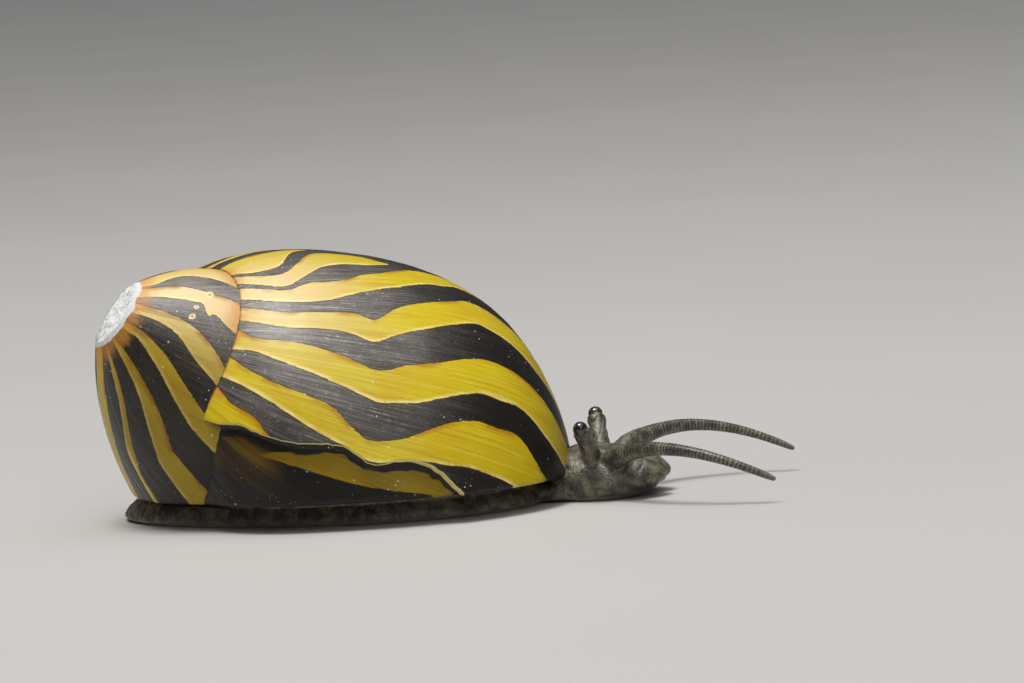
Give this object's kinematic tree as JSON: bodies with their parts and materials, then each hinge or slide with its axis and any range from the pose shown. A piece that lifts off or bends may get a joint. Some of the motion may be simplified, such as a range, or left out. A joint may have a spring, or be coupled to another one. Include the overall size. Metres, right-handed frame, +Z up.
{
  "type": "zebra nerite snail, still life-size model",
  "caption": "Still model of a zebra nerite snail creeping on a flat sole, with a smooth striped globular shell, a worn tip, a snout, feelers and short-stalked eyes.",
  "frame": {"origin": "middle of the sole's flat underside, which rests on the floor", "axes": "+X towards the head, +Y to the animal's left, +Z up"},
  "size_m": [0.0331, 0.019, 0.0128],
  "materials": {
    "shell": "gloss",
    "skin": "satin",
    "lid": "satin",
    "eye": "gloss"
  },
  "bodies": {
    "root": {"shell": "shell", "mantle": "skin", "operculum": "lid", "foot": "skin", "head": "skin", "tentacle_left_1": "skin", "tentacle_left_2": "skin", "tentacle_left_3": "skin", "tentacle_right_1": "skin", "tentacle_right_2": "skin", "tentacle_right_3": "skin", "eyestalk_left": "skin", "eyestalk_right": "skin", "eye_left": "eye", "eye_right": "eye"}
  },
  "joints": []
}
